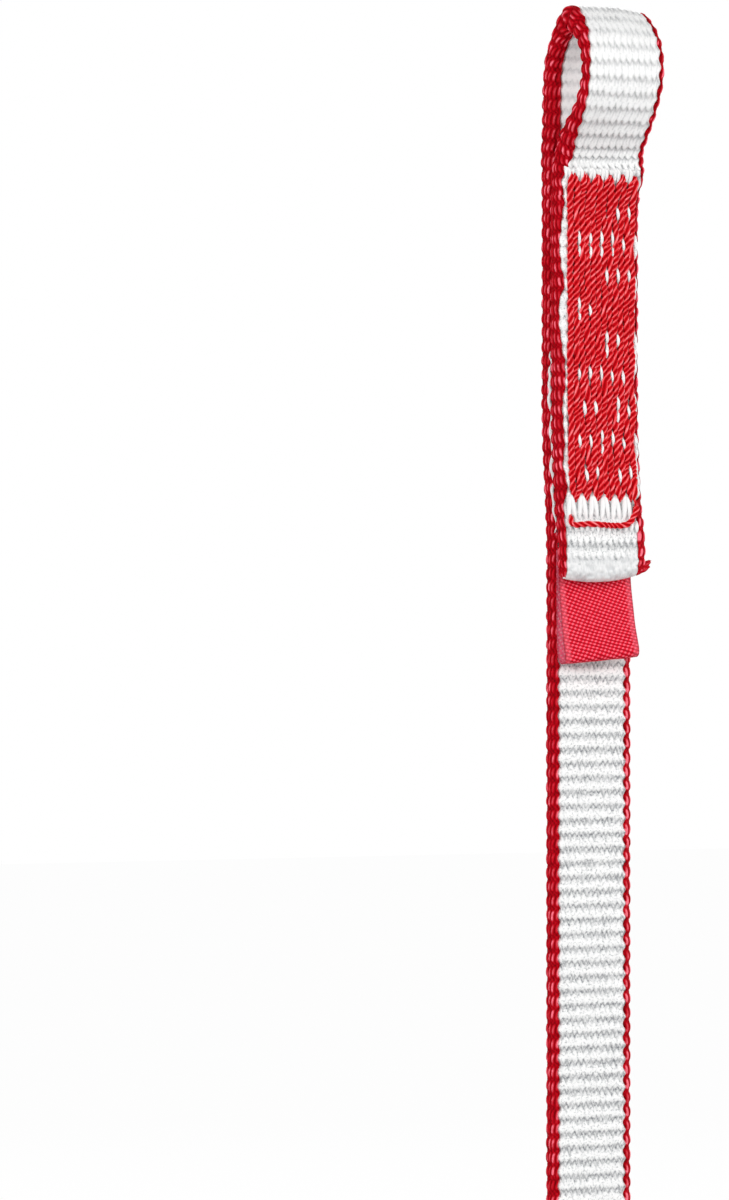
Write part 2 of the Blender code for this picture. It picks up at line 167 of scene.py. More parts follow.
# Folded label: its middle line as (depth, drop) from between the layers, down the front ply,
# round the fold and back up, and its cloth
LABEL_HALF, LABEL_ASIDE, LABEL_CLOTH = 0.0052, -0.0001, 0.00026
LABEL_HANG, LABEL_TILT, LABEL_TURN, LABEL_RIPPLE = (0.0735, 0.083), 0.0009, 0.00022, 0.00007
LABEL_STEP, LABEL_COLUMNS = 0.00018, 60
LABEL_ROUTE = (
    (0.00286, 0.0692), (0.0029, 0.0715), (0.00314, 0.0738), (0.00364, 0.0765), (0.00418, 0.0792),
    (0.00484, 0.0813), (0.00518, 0.0824), (0.0051, 0.0831), (0.00446, 0.0834), (0.00366, 0.0832),
    (0.00312, 0.0823), (0.00288, 0.0805), (0.00272, 0.078), (0.0026, 0.075), (0.00256, 0.0722),
    (0.00255, 0.0692))

# Fields of smooth noise: the size of a cell, and two shifts that keep the fields apart
FIELDS = {
    "border": (0.0026, 2.0, 9.0), "wander": (0.0011, 1.0, 1.0), "slip": (0.0016, 7.0, 3.0),
    "mark_strength": (0.0013, 3.0, 6.0), "grain": (0.0004, 2.0, 2.0), "melting": (0.0011, 6.0, 0.0),
    "lump": (0.0012, 5.0, 5.0), "speck": (0.0004, 8.0, 3.0), "pillow": (0.0016, 4.0, 4.0),
    "twist": (0.0026, 0.0, 3.0), "thickness": (0.0023, 0.0, 7.0), "ripple": (1.0, 9.0, 0.0)}
NOISE = np.random.default_rng(31).random((512, 64))
TINY = 1e-12


def columns(*values):
    return np.stack(values, axis=-1)


def chain(*parts):
    return np.concatenate(parts)


def whole(value):
    return np.floor(value).astype(int)


def to_world(across, depth, drop):
    """World places of points given by their place across, depth and drop."""
    return columns(across + 0 * depth, BACK_Y - depth, TOP_Z - drop)


def ease(value, start, end):
    share = np.clip((value - start) / (end - start), 0, 1)
    return share * share * (3 - 2 * share)


def rise(value, place, fade):
    """0 to 1 over a fade, whose start and end are counted from a place."""
    return ease(value, place + fade[0], place + fade[1])


def between(first, last, share):
    return first + (last - first) * share


def hump(offset, spread):
    """A bell: 1 at no offset, about a third at the spread, 0 far off."""
    return np.exp(-(offset / spread) ** 2)


def summed(steps):
    """The running length after each step, from 0."""
    return chain([0.0], np.cumsum(steps))


def unit(vectors, least=0.0):
    return vectors / (np.linalg.norm(vectors, axis=1)[:, None] + least)


def chance(row, column):
    """A repeatable share, 0 to 1, for whole numbers of a row and a column."""
    return NOISE[row % NOISE.shape[0], column % NOISE.shape[1]]


def noise_at(field, first, second):
    """Smooth repeatable noise, -1 to 1, at two running values in one of the FIELDS."""
    cell, first_shift, second_shift = FIELDS[field]
    first, second = (first + first_shift) / cell, (second + second_shift) / cell
    i, j = whole(first), whole(second)
    u, v = first - i, second - j
    u, v = u * u * (3 - 2 * u), v * v * (3 - 2 * v)
    low = chance(i, j) * (1 - u) + chance(i + 1, j) * u
    high = chance(i, j + 1) * (1 - u) + chance(i + 1, j + 1) * u
    return 2 * (low * (1 - v) + high * v) - 1


def smooth_through(points, steps, upright=True):
    """Catmull-Rom points through the places; upright ends stand along the drop."""
    points = np.array(points)
    first, last = 2 * points[0] - points[1], 2 * points[-1] - points[-2]
    if upright:
        first[0], last[0] = points[1][0], points[-2][0]
    places = np.array([first, *points, last])
    line = []
    for a, b, c, d in zip(places, places[1:], places[2:], places[3:]):
        for t in np.arange(steps) / steps:
            line.append(b + t / 2 * (c - a) + t * t * (a - (5 * b - 4 * c + d) / 2)
                        + t ** 3 * (3 * (b - c) + d - a) / 2)
    return line + [points[-1]]


def set_back(drop):
    """A sewn end lies behind the strand's line, so that the pull runs through its middle."""
    return SETBACK * (ease(drop, EASE_START, TAB_START) - 1)


def lifted(drop):
    """The upper tail's shift: its end is also lifted by the label sewn in behind it."""
    return set_back(drop) + TAIL_LIFT * ease(drop, BLOCK_END, TAB_START)


class Tape:
    """The middle line of the whole tape, from the upper tail's cut to the lower tail's."""

    def __init__(self):
        back = HALF - SETBACK
        eye = [(back + depth * EYE_SPAN, EYE_LENGTH - height * EYE_RISE)
               for depth, height in EYE_PATH_SHARES]
        eye.append((back + LAYER_STEP, EYE_LENGTH - 2 * CLEARANCE))
        eye = smooth_through(eye, 14) + [np.array((back + LAYER_STEP, EYE_LENGTH))]
        middle = OVERALL / 2
        tail = np.linspace(TAIL_END + OVERRUN, EYE_LENGTH, 500)[:-1]
        strand = np.linspace(EYE_LENGTH, middle, 600)[1:]

        def half(shift):
            return np.array([*columns(HALF + LAYER_STEP + shift(tail), tail), *eye[::-1],
                             *columns(HALF + set_back(strand), strand)])

        upper, lower = half(lifted), half(set_back)[::-1]
        lower[:, 1] = OVERALL - lower[:, 1]
        line = chain(upper, lower)
        keep = chain([True], np.hypot(*np.diff(line, axis=0).T) > 1e-9)
        self.line = line[keep]
        run = summed(np.hypot(*np.diff(self.line, axis=0).T))
        about = slice(-len(lower) - 9, -len(lower) + 9)
        self.along = run - np.interp(middle, self.line[about, 1], run[about]) + middle
        tangent = unit(np.gradient(self.line, self.along, axis=0))
        self.normal = columns(tangent[:, 1], -tangent[:, 0])
        over = OVERRUN - CUT_SPREAD
        self.start, self.end = self.along[0] + over, self.along[-1] - over

    def place(self, across, along, lift):
        """World places of points on the tape, strayed from its plain route."""
        near = self.near(along)
        at_crown = hump(near - CROWN_RUN, CROWN_SPREAD)
        squeezed = CROWN_SQUEEZE * hump(near - CROWN_RUN, SQUEEZE_SPREAD)
        drooped = np.where(across > 0, CROWN_DROOP[1], CROWN_DROOP[-1])
        lift = lift + at_crown * drooped * ease(np.abs(across), *DROOP_ACROSS)
        lift = lift + squeezed * np.clip(lift / EYE_HALF, 0, 1) - CROWN_RISE * at_crown
        at_back = in_eye(near) * rise(near, CROWN_RUN, FROM_CROWN)
        on_front = hump(near - CROWN_RUN + ASIDE_BEFORE, ASIDE_SPREAD)
        forward = OUTER_FORWARD * at_front(near) + neck(across, near)
        across = across + OUTER_ASIDE * at_front(near) - EYE_ASIDE * (at_back - on_front)
        curve = CUT_CURVE * ((across + CUT_ASIDE) / EDGE_HALF) ** 2
        cut = curve * (1 - ease(near, 0, CUT_REACH))
        along = along + np.where(along < OVERALL / 2, cut, -cut)
        depth, drop = (np.interp(along, self.along, self.line[:, k]) for k in (0, 1))
        out = [np.interp(along, self.along, self.normal[:, k]) for k in (0, 1)]
        size = np.hypot(*out)
        depth = depth + out[0] / size * lift + forward
        return to_world(across, depth, drop + out[1] / size * lift)

    def near(self, along):
        return np.minimum(along - self.start, self.end - along)


TAPE = Tape()
TAIL_TOP = TAPE.start + TAIL_RUN
EYE_RUN = EYE_LENGTH - TAIL_TOP
EYE_END = TAIL_RUN + EYE_RUN
CROWN_RUN = TAPE.near(TAPE.along[np.argmin(TAPE.line[:, 1])])


def at_front(near):
    """1 on a tail, falling to 0 on the front of its eye."""
    return 1 - rise(near, TAIL_RUN, FROM_TAIL_TOP)


def neck(across, near):
    """How far an eye's neck stands forward: its right side swells, its left side is pinched in."""
    right = np.clip((across / EDGE_HALF + 1) / 2, 0, 1)
    swell = NECK_FORWARD * hump(near - TAIL_RUN - NECK_RUN, NECK_SPREAD)
    pinch = PINCH * hump(near - TAIL_RUN - PINCH_RUN, PINCH_SPREAD)
    return between(NECK_TILT, 1, right) * swell - (1 - right) ** PINCH_POWER * pinch


def tail_drop(near):
    """The drop on a tail, counted as on the upper end."""
    return EYE_LENGTH + TAIL_RUN - near


def standing_drop(near):
    """The drop on the standing layer, counted as on the upper end."""
    return near - EYE_END + EYE_LENGTH


def in_eye(near):
    return rise(near, TAIL_RUN, INTO_EYE) * (1 - rise(near, EYE_END, OUT_OF_EYE))


def sewn(near):
    """1 on both layers of a sewn end, 0 in the eye and on the strand."""
    standing = 1 - ease(standing_drop(near), BLOCK_END - SEWN_FADE, TAIL_END)
    return (1 - in_eye(near)) * np.where(near < EYE_END, 1.0, standing)


def outer(near):
    """1 on a tail and on the front of an eye, 0 from an eye's back onwards."""
    return 1 - ease(near, *(TAIL_RUN + share * EYE_RUN for share in OUTER_SHARES))


def stitched(near):
    """1 where the block's stitches press the outer faces down, 0 elsewhere."""
    drop = np.where(near < TAIL_RUN + EYE_RUN / 2, tail_drop(near), standing_drop(near))
    return rise(drop, EYE_LENGTH, INTO_BLOCK) * (1 - rise(drop, BLOCK_END, OUT_OF_BLOCK))


def tape_half(near):
    """Half the tape's width."""
    wider = np.where(near < EYE_END / 2, TAIL_SPREAD, SEWN_SPREAD)
    spread = STRAND_SPREAD * (1 - in_eye(near)) + (wider - STRAND_SPREAD) * sewn(near)
    return EDGE_HALF + spread + EYE_SPREAD * hump(near - CROWN_RUN, CROWN_SPREAD)


def tape_tall(near):
    """Half the tape's thickness."""
    return between(STRAND_HALF, SEWN_HALF, sewn(near)) + (EYE_HALF - STRAND_HALF) * in_eye(near)


def rounded_cut(near, length, least):
    """1 along the tape, rounded off to near 0 over the last length before a cut."""
    return np.sqrt(np.clip(1 - (1 - np.clip(near / length, 0, 1)) ** 2, least, 1))


def rib_place(along):
    """The nearest groove between ribs, and the distance from it in rib pitches."""
    turn = along / RIB_PITCH
    groove = whole(turn + 0.5)
    return groove, turn - groove


def rib_bulge(along):
    """How far a rib stands out sideways at its middle: 1 there, 0 in the grooves."""
    _, away = rib_place(along)
    return np.sin(math.pi * np.clip(np.abs(away), 0, 0.5)) ** 1.5


def red_reach(near, along, side, face):
    """How far a red edge reaches in from the tape's edge on one face, in waves from rib to rib."""
    outside = np.interp(near - TAIL_RUN, *zip(*OUTSIDE_RED[side]))
    outside = outside + LUMPS * stitched(near) * noise_at("border", along, side)
    outside = between(STRAND_RED, outside, outer(near))
    if side < 0:
        outside = outside + CROWN_RED * hump(near - CROWN_RUN + CROWN_RED_BEFORE, CROWN_RED_SPREAD)
    reach = np.where(face < 0, outside, between(STRAND_RED, INSIDE_RED, in_eye(near)))
    wave = BORDER_WAVE[side] * (rib_bulge(along + (BORDER_LEAN if side > 0 else 0.0)) - 0.5)
    return reach - wave * np.clip(reach / BORDER_FULL, 0, 1) * (1 - 0.7 * at_front(near))


def placed(name, data):
    """A new object in the scene."""
    made = bpy.data.objects.new(name, data)
    scene.collection.objects.link(made)
    return made


def skin(name, wide, long, shape):
    """A closed skin: a grid wrapped round and along a piece, with its ends drawn shut.

    shape(i, j) gives each grid vertex its world place, its two weave coordinates and its
    named values; the first and last columns meet, and the first and last rows close the ends.
    """
    work = bmesh.new()
    work.loops.layers.uv.new("weave")
    bmesh.ops.create_grid(work, x_segments=wide, y_segments=long, size=1.0)
    work.faces.ensure_lookup_table()
    caps = set(work.faces[:wide]) | set(work.faces[-wide:])
    for face in caps:
        for edge in face.edges:
            edge.smooth = all(other in caps for other in edge.link_faces)
    mesh = bpy.data.meshes.new(name)
    work.to_mesh(mesh)
    flat = np.empty(len(mesh.vertices) * 3)
    mesh.vertices.foreach_get("co", flat)
    flat = flat.reshape(-1, 3)
    i, j = (np.rint((flat[:, k] + 1) / 2 * count).astype(int) for k, count in ((0, wide), (1, long)))
    places, weave, values = shape(i, j)
    mesh.vertices.foreach_set("co", places.astype(np.float32).ravel())
    corner = np.empty(len(mesh.loops), int)
    mesh.loops.foreach_get("vertex_index", corner)
    mesh.uv_layers["weave"].uv.foreach_set(
        "vector", (weave[corner] * 1000).astype(np.float32).ravel())
    for key, value in values.items():
        layer = mesh.attributes.new(key, "FLOAT", "POINT")
        layer.data.foreach_set("value", value.astype(np.float32))
    work.clear()
    work.from_mesh(mesh)
    bmesh.ops.remove_doubles(work, verts=work.verts, dist=1e-6)
    bmesh.ops.recalc_face_normals(work, faces=work.faces)
    work.to_mesh(mesh)
    work.free()
    mesh.polygons.foreach_set("use_smooth", np.ones(len(mesh.polygons), bool))
    return placed(name, mesh)


def joined(name, *strands):
    """Several round strands as one object."""
    work = bmesh.new()
    for strand in strands:
        piece = round_strand("strand", *strand)
        work.from_mesh(piece.data)
        bpy.data.objects.remove(piece)
    mesh = bpy.data.meshes.new(name)
    work.to_mesh(mesh)
    work.free()
    return placed(name, mesh)


def open_rows(count):
    """1 for each of a piece's rows, 0 for the first and last, which close its ends."""
    return chain([0.0], np.ones(count - 2), [0.0])


def running(start, end):
    """Row places along a piece, doubled at both ends for its caps."""
    rows = np.linspace(start, end, max(2, round((end - start) / (RIB_PITCH / ROWS_PER_RIB))) + 1)
    return chain([start], rows, [end])


def zigzag(column, skew):
    """A leaning zigzag, -1 to 1, over one column, and its share of the column."""
    part = column - np.floor(column)
    return np.where(part < skew, part / skew, (1 - part) / (1 - skew)) * 2 - 1, part


def woven_face(across, along, face):
    """Height and painted shade of the ribbed middle at places on one face.

    Between two ribs the yarns end in points that lock into each other, so the gap runs in a
    leaning zigzag, doubled here and there into loops.  On the outside of an eye and on a tail
    the ribs are drawn open, and each laps over the next like a shingle.
    """
    near = TAPE.near(along)
    opened = np.where(face < 0, outer(near), 0.0)
    groove, away = rib_place(along)
    off_groove = away * RIB_PITCH
    row = groove + np.where(face > 0, 97, 0)
    column = across / YARN_PITCH + 0.5 * (groove % 2) + 0.5 * chance(row, 0)
    column = column + 0.16 * noise_at("wander", across, along)
    index = whole(column)
    odd, flank = chance(row, index + 20), chance(row + 211, index + 31)

    # The zigzag joint, a groove with painted shade in it; fainter on its rising flanks, and inside an
    # eye, where its inner face is painted lighter
    wave, part = zigzag(column, ZIGZAG_SKEW)
    rising = part < ZIGZAG_SKEW
    reach = ZIGZAG * (0.7 + 0.6 * odd)
    slope = 2 * reach / (np.where(rising, ZIGZAG_SKEW, 1 - ZIGZAG_SKEW) * YARN_PITCH)
    off = off_groove - reach * wave - JOINT_STRAY * (flank - 0.5)
    width = GAP_WIDTH * (0.75 + 0.5 * flank)
    strength = np.where(rising, 0.4 + 0.5 * odd, 0.95 - 0.4 * flank) * (1 - 0.45 * opened)
    strength = strength * (1 - 0.65 * in_eye(near) * (face > 0))
    first = strength * np.exp(-(off / width) ** 2 / (1 + slope * slope))

    # The second line, which makes loops of it and is strong where it is faint
    slip = 0.5 + 0.4 * noise_at("slip", across, groove * 0.0007)
    second_wave, _ = zigzag(column * 1.25 + slip, 0.5)
    second_off = off_groove + SECOND_LINE - 0.8 * ZIGZAG * (0.6 + 0.7 * flank) * second_wave
    second = (0.45 + 0.65 * chance(row + 57, index + 9)) * (1 - 0.8 * opened)
    mark_strength = 0.75 + 0.45 * noise_at("mark_strength", across, along)
    first, second = first * mark_strength, second * (1.25 - 0.5 * mark_strength)
    second = second * hump(second_off, 1.3 * width) * (1 - 0.8 * in_eye(near))
    # A band of painted shade over the groove between ribs, half as strong where the ribs are drawn open
    band = hump(off_groove, GROOVE_WIDTH)
    painted_shade = 1 - (1 - first) * (1 - second) * (1 - GROOVE_SHADE * band * (1 - 0.5 * opened))

    # On opened ribs, painted shade in the gaps between floats and a painted shadow under each lap;
    # below a block, fins with painted shade
    up = np.where(near < CROWN_RUN, -1.0, 1.0) * np.where(along < OVERALL / 2, 1.0, -1.0)
    below = (up * off / RIB_PITCH) % 1.0
    leant = column + 0.3 * (below - 0.5)
    beside = np.abs(leant - np.floor(leant) - 0.5) * YARN_PITCH
    drop = tail_drop(near)
    fins = rise(drop, BLOCK_END, INTO_FINS) * (1 - rise(drop, BLOCK_END, OUT_OF_FINS))
    float_gap = hump(beside, FLOAT_WIDTH) * np.maximum(0.35 + 0.65 * (1 - below), fins) * opened
    lower = opened * (1 - rise(near, TAIL_RUN, LOWER_EYE))
    shade = ROW_SHADE * lower * (1 - ease(below, 0.1, 0.62)) * (0.8 + 0.4 * odd)
    float_gap = float_gap * (0.4 + 0.32 * lower)
    painted_shade = 1 - (1 - painted_shade * (1 - 0.7 * fins)) * (1 - float_gap) * (1 - shade)
    painted_shade = np.maximum(painted_shade, 0.42 * fins)

    height = -RIB_DEPTH * band * (1 - opened) - GAP_DEPTH * (first + 0.6 * second)
    height = height - LEDGE * (1 - below) * opened - FLOAT_DEPTH * float_gap
    return height + GRAIN * noise_at("grain", across, along), np.clip(painted_shade, 0, 1)


def ribbed_middle(name, start, end):
    """A length of the white ribbed middle, both faces, as one closed skin."""
    flat = np.linspace(-FLAT_SHARE, FLAT_SHARE, FACE_COLUMNS)
    half = chain(-FLAT_RIM[::-1], flat, FLAT_RIM)
    shares = chain(half, half[-2:0:-1], half[:1])
    faces = chain(np.ones(len(half)), -np.ones(len(half) - 2), [1.0])
    rows = running(start, end)
    open_row = open_rows(len(rows))

    def shape(i, j):
        share, face, along = shares[i], faces[i], rows[j]
        near = TAPE.near(along)

        def reach_on(face):
            return np.where(share > 0, *(red_reach(near, along, side, face) for side in (1, -1)))

        shut = (open_row[j] < 0.5) | (np.abs(share) > 0.999)
        reach = np.where(shut, np.maximum(reach_on(1.0), STRAND_RED), reach_on(face))
        across = share * (tape_half(near) - np.maximum(reach - RED_OVERLAP, LEAST_RED))
        height, painted_shade = woven_face(across, along, face)

        # A melted cut end, smooth and lumpy, with painted shade in the low parts of its lumps
        melted = 1 - ease(near + MELT_WANDER * noise_at("melting", across, along), *MELTED)
        lump = MELT_LUMP * noise_at("lump", across, along)
        lump = lump + MELT_GRAIN * noise_at("speck", across, along)
        height = height * (1 - melted) + lump * melted
        painted_shade = painted_shade * (1 - 0.6 * melted) + 0.35 * melted * np.clip(-lump / MELT_LUMP, 0, 1)

        # Stitches press the outer face down; beside them it swells in lumps, and its painted shade is
        # weakened so it is painted lighter
        rounding = (1 - np.abs(share) ** FLAT_POWER) ** 0.5
        pressed = stitched(near) * (face < 0)
        middle = np.where(face < 0, (BLOCK_ASIDE - OUTER_ASIDE) * outer(near), 0.0)
        beside = rise(np.abs(across - middle), BLOCK_HALF, BESIDE_BLOCK)
        lumps = PILLOW * rib_bulge(along) * (1 + 1.1 * noise_at("pillow", along, across * 0.3))
        thick = tape_tall(near) * rounding
        thick = thick - BLOCK_SINK * pressed * (1 - beside) + lumps * pressed * beside
        painted_shade = painted_shade * (1 - 0.7 * pressed * beside)

        lift = np.maximum(thick * rounded_cut(near, *WHITE_CUT) + height * rounding, 0)
        lift = np.where(np.abs(share) > 0.9999, 0.0, face * lift * open_row[j])
        # Small grey specks, most outside an eye, where they also paint the tape a little darker than in
        # an eye
        values = {"painted_shade": painted_shade, "melted": melted, "specked": 1 - 0.75 * in_eye(near)}
        return TAPE.place(across, along, lift), columns(across + face * 0.02, along), values

    return skin(name, len(shares) - 1, len(rows) - 1, shape)


# The edge's rounded section, from its flat faces to its outermost line, by length round it
TURN = np.linspace(0, math.pi / 2, 200)
TURN_RUN = summed(np.hypot(np.diff(EDGE_ROUND * np.cos(TURN) ** EDGE_POWER),
                           np.diff(STRAND_HALF * np.sin(TURN) ** EDGE_POWER)))


def red_edge(name, side, start, end):
    """A length of one red edge: slim yarns that float over each rib and dive between ribs."""
    rows = running(start, end)
    open_row = open_rows(len(rows))
    shown = chain(np.linspace(0, 1, EDGE_COLUMNS), [1.0, 0.0, 0.0])
    buried = chain(np.zeros(EDGE_COLUMNS), [1.0, 1.0, 0.0])

    def shape(i, j):
        # Round the section, from the red's reach on the back to its reach in front
        along = rows[j]
        near = TAPE.near(along)
        wide = tape_half(near) + EDGE_BULGE * (rib_bulge(along) - 0.5)
        tall = tape_tall(near) + RED_PROUD
        ends = []
        for face in (-1.0, 1.0):
            inner = red_reach(near, along, side, face)
            share = np.clip((EDGE_ROUND - inner) / EDGE_ROUND, 0.02, 0.999)
            ends.append(np.interp(np.arccos(share ** (1 / EDGE_POWER)), TURN, TURN_RUN) * face)
        run = between(*ends, shown[i])
        turn = np.interp(np.abs(run), TURN_RUN, TURN)
        cos, sin = np.cos(turn), np.sin(turn)

        # Leaning yarns: a float over each rib, and its neighbours between two ribs
        rib = whole(along / RIB_PITCH)
        local = along / RIB_PITCH - rib - 0.5
        slant = between(*EDGE_SLANT, in_eye(near))
        column = run / EDGE_YARN + slant * local * np.sign(run) + 0.3 * chance(rib, 5 + side)
        index = whole(column)
        odd = chance(rib + 40 * side, index + 40)
        ridge = np.sin(math.pi * (column - index))
        other = np.abs(np.cos(math.pi * (column - index)))
        reach = np.abs(local - 0.14 * (odd - 0.5)) * 2 / (FLOAT_SHARE + 0.2 * (odd - 0.5))
        over = np.clip(1 - reach ** 4, 0, 1)
        crest = np.maximum(ridge ** 1.1 * over, 0.54 * other * (1 - over))
        border = ease(np.minimum(shown[i], 1 - shown[i]), 0.0, 0.12)
        swell = EDGE_SWELL * (crest - 0.45) * border

        out = np.stack([cos ** (2 - EDGE_POWER) / EDGE_ROUND, sin ** (2 - EDGE_POWER) / tall])
        out = out / (np.hypot(*out) + TINY)
        aside = EDGE_ROUND * cos ** EDGE_POWER + swell * out[0] - BURIED_ASIDE * buried[i]
        lift = tall * sin ** EDGE_POWER + swell * out[1] - BURIED_DEEP * buried[i]
        shrink = rounded_cut(near, *RED_CUT)
        middle = 0.6 * EDGE_ROUND
        aside = middle + (aside - middle) * open_row[j] * shrink
        across = wide - EDGE_ROUND + aside
        place = TAPE.place(side * across, along, np.sign(run) * lift * open_row[j] * shrink)
        # Painted highlight on each float's crest, stronger on the right side and varying at random;
        # painted shade between the floats
        painted_highlight = 0.75 + 0.1 * side + 0.5 * chance(rib * 3 + 71 * side, index + 11)
        return place, columns(run, along), {"painted_shade": np.clip(1 - crest * painted_highlight, 0, 1)}

    return skin(name, len(shown) - 1, len(rows) - 1, shape)


def even_run(points, step):
    """Places every step along a smooth curve through the points, and their running length."""
    line = np.array(smooth_through(points, 8, upright=False))
    run = summed(np.linalg.norm(np.diff(line, axis=0), axis=1))
    even = np.linspace(0, run[-1], max(8, round(run[-1] / step)))
    return columns(*(np.interp(even, run, part) for part in line.T)), even


def round_strand(name, points, to_place, sides, radius_at):
    """A round strand along (across, out, drop) points, as one closed skin.

    radius_at(angle, run, length, drop) gives each vertex its radius and its painted shade.
    """
    line, run = even_run(points, THREAD_STEP)
    tangent = unit(np.gradient(line, axis=0), TINY)
    up = unit(np.array([0.0, 1.0, 0.0]) - tangent * tangent[:, 1:2], TINY)
    aside = np.cross(tangent, up)
    rows = chain([0], np.arange(len(line)), [len(line) - 1])
    open_row = open_rows(len(rows))

    def shape(i, j):
        angle, row = i / sides * 2 * math.pi, rows[j]
        radius, painted_shade = radius_at(angle, run[row], run[-1], line[row, 2])
        radius = radius * open_row[j]
        place = line[row] + aside[row] * (radius * np.cos(angle))[:, None]
        place = place + up[row] * (THREAD_FLAT * radius * np.sin(angle))[:, None]
        return to_place(place), columns(angle * THREAD_RADIUS, run[row]), {"painted_shade": painted_shade}

    return skin(name, sides, len(rows) - 1, shape)


def twisted(tack_length):
    """Three plies laid round each other, painted shade between them and painted highlights on their
    crowns; the thread lies slimmer over its last length.
    """
    def radius_at(angle, run, length, drop):
        turned = run / PLY_TWIST + 0.3 * noise_at("twist", run, 0.0)
        ply = np.abs(np.cos(1.5 * (angle + turned * 2 * math.pi)))
        slim = rise(run, length - tack_length, (0.0, TACK_FADE))
        tip = ease(np.minimum(drop - HOLES[0], HOLES[-1] - drop), *TIP_FADE)
        radius = THREAD_RADIUS * (1 + 0.1 * noise_at("thickness", run, 0.0))
        radius = radius * np.where(slim > 0, 1 - 0.18 * slim, 0.4 + 0.6 * tip)
        return radius * (1 - PLY_DEPTH * (1 - ply) ** 1.3), (1 - ply) ** 0.8
    return radius_at


def tapered(radius):
    """A frayed yarn that thins to a blunt point, with painted shade in stripes along its twisted
    ridges.
    """
    def radius_at(angle, run, length, drop):
        share = run / length
        ridge = np.cos(3 * angle + 9 * share)
        return radius * (1 - 0.7 * share ** 1.6) * (1 + 0.14 * ridge), 0.38 + 0.26 * ridge
    return radius_at


def spindle(radius):
    """A smooth yarn, thick in the middle and thin at both ends, with painted shade along its two sides.
    """
    def radius_at(angle, run, length, drop):
        swell = 0.15 + 0.85 * np.abs(np.sin(math.pi * run / length)) ** 0.6
        return radius * swell, 0.06 + 0.4 * np.abs(np.cos(angle)) ** 4
    return radius_at


def pass_place(number):
    """The place across of a pass, or of a point between two."""
    return (number - (PASSES - 1) / 2) * PASS_PITCH


def block_points(seed):
    """The route of one block's thread as (across, out, drop): passes up and down, drawn together
    in pairs at the needle's holes."""
    odd = np.random.default_rng(seed)
    points = []
    for number in range(PASSES):
        base = pass_place(number)
        order = list(range(STITCHES + 1))
        if number % 2 == 0:
            order.reverse()
        for hole, following in zip(order, [*order[1:], None]):
            at_end = hole in (0, STITCHES)
            shown = not at_end and SLIVERS[hole][(number - 1 + hole % 2) // 2 % 6]
            pull = END_PULL if at_end else OPEN_PULL if shown else SHUT_PULL
            stray = SIDE_STRAY if number in (0, PASSES - 1) else PASS_STRAY
            partner = 1 if (number if at_end else number + hole) % 2 == 0 else -1
            across = base + partner * pull + stray * (odd.random() - 0.5)
            drop = HOLES[hole] + (END_STRAY if at_end else HOLE_STRAY) * (odd.random() - 0.5)
            if hole == 0:
                drop += BLOCK_SLOPE * base
            points.append((across, -0.0001 if at_end else 0.00006, drop))
            if following is None and number < PASSES - 1:
                points.append((base + PASS_PITCH / 2, -0.0009, drop + (0.0002 if hole else -0.0002)))
            if following is not None:
                half = (HOLES[hole] + HOLES[following]) / 2 + 0.0004 * (odd.random() - 0.5)
                points.append((base + 0.00022 * (odd.random() - 0.5), 0.0002 + 0.00018 * odd.random(),
                               half))
    return points


def with_tack(points):
    """A block's route, running on below it into the cross tack, from right to left."""
    side = pass_place(PASSES - 1)
    crossing = [(between(TACK_RIGHT, TACK_LEFT, share), 0.0004,
                 TACK_DROP + 0.0001 * math.sin(7 * share)) for share in (0.06, 0.3, 0.5, 0.7, 0.94)]
    return [
        *points[:-1], (side, 0.0002, HOLES[-1] - 0.0004),
        (side + 0.0001, 0.00032, BLOCK_END + 0.0012), (side - 0.0002, 0.00034, BLOCK_END + 0.0022),
        (TACK_RIGHT + 0.0005, 0.00038, TACK_DROP - 0.0004), *crossing,
        (TACK_LEFT, 0.00034, TACK_DROP - 0.0003), (TACK_LEFT, 0.00018, TACK_DROP - 0.001),
        (TACK_LEFT, -0.0004, TACK_DROP - 0.0016)]


def white_yarns(seed):
    """White yarns drawn up at the open holes, and the fins and floats at the block's two ends."""
    odd = np.random.default_rng(seed + 100)
    routes = []

    def about(value, spread):
        return value + spread * odd.random()

    def yarn(across, drop, tall, lean, radius, up):
        sway = 0.00008 * (odd.random() - 0.5)
        places = [(across - share * lean + sway * (1 - abs(share)), up * (1 - 2 * share * share),
                   drop + share * tall) for share in (-1, -0.5, 0, 0.5, 1)]
        routes.append((places, radius))

    for hole in range(1, STITCHES):
        for gap, shown in enumerate(SLIVERS[hole]):
            across = pass_place(2 * gap + (0.5 if hole % 2 else 1.5))
            if not shown or across > (PASSES / 2 - 0.6) * PASS_PITCH:
                continue
            radius = SLIVER_RADIUS * about(0.8, 0.4)
            if shown == 2:
                for down, lean in ((-0.0008, -0.0002), (0.0013, 0.00022)):
                    yarn(across, HOLES[hole] + down, about(0.0012, 0.0003), lean, radius, 0.00036)
            else:
                yarn(across, HOLES[hole] + 0.0008 * (odd.random() - 0.5), about(0.0011, 0.0005),
                     about(-0.00008, -0.00016), radius, 0.00032)
    for gap in range(-1, PASSES // 2 - 1):
        across = pass_place(2 * gap + 1.5)
        for side in (-1, 1):
            yarn(across + side * FIN_ASIDE, about(HOLES[-1] + 0.0004, 0.0004),
                 about(0.002, 0.0002), -side * 0.00022, 0.00036, 0.00014)
            yarn(across + side * 0.0002, HOLES[0] + BLOCK_SLOPE * across - 0.0001,
                 about(0.0014, 0.0003), -0.00012 - side * 0.00008, 0.00025, 0.00018)
    for column in range(PASSES):
        across = pass_place(column)
        yarn(across, about(HOLES[-1] + 0.0031, 0.0003), 0.0008, 0.0, 0.0003, 0.00008)
        yarn(across - 0.0001, about(HOLES[0] + 0.06 * across - 0.0018, 0.0003), 0.001,
             -0.00026, 0.00027, 0.00008)
    return routes


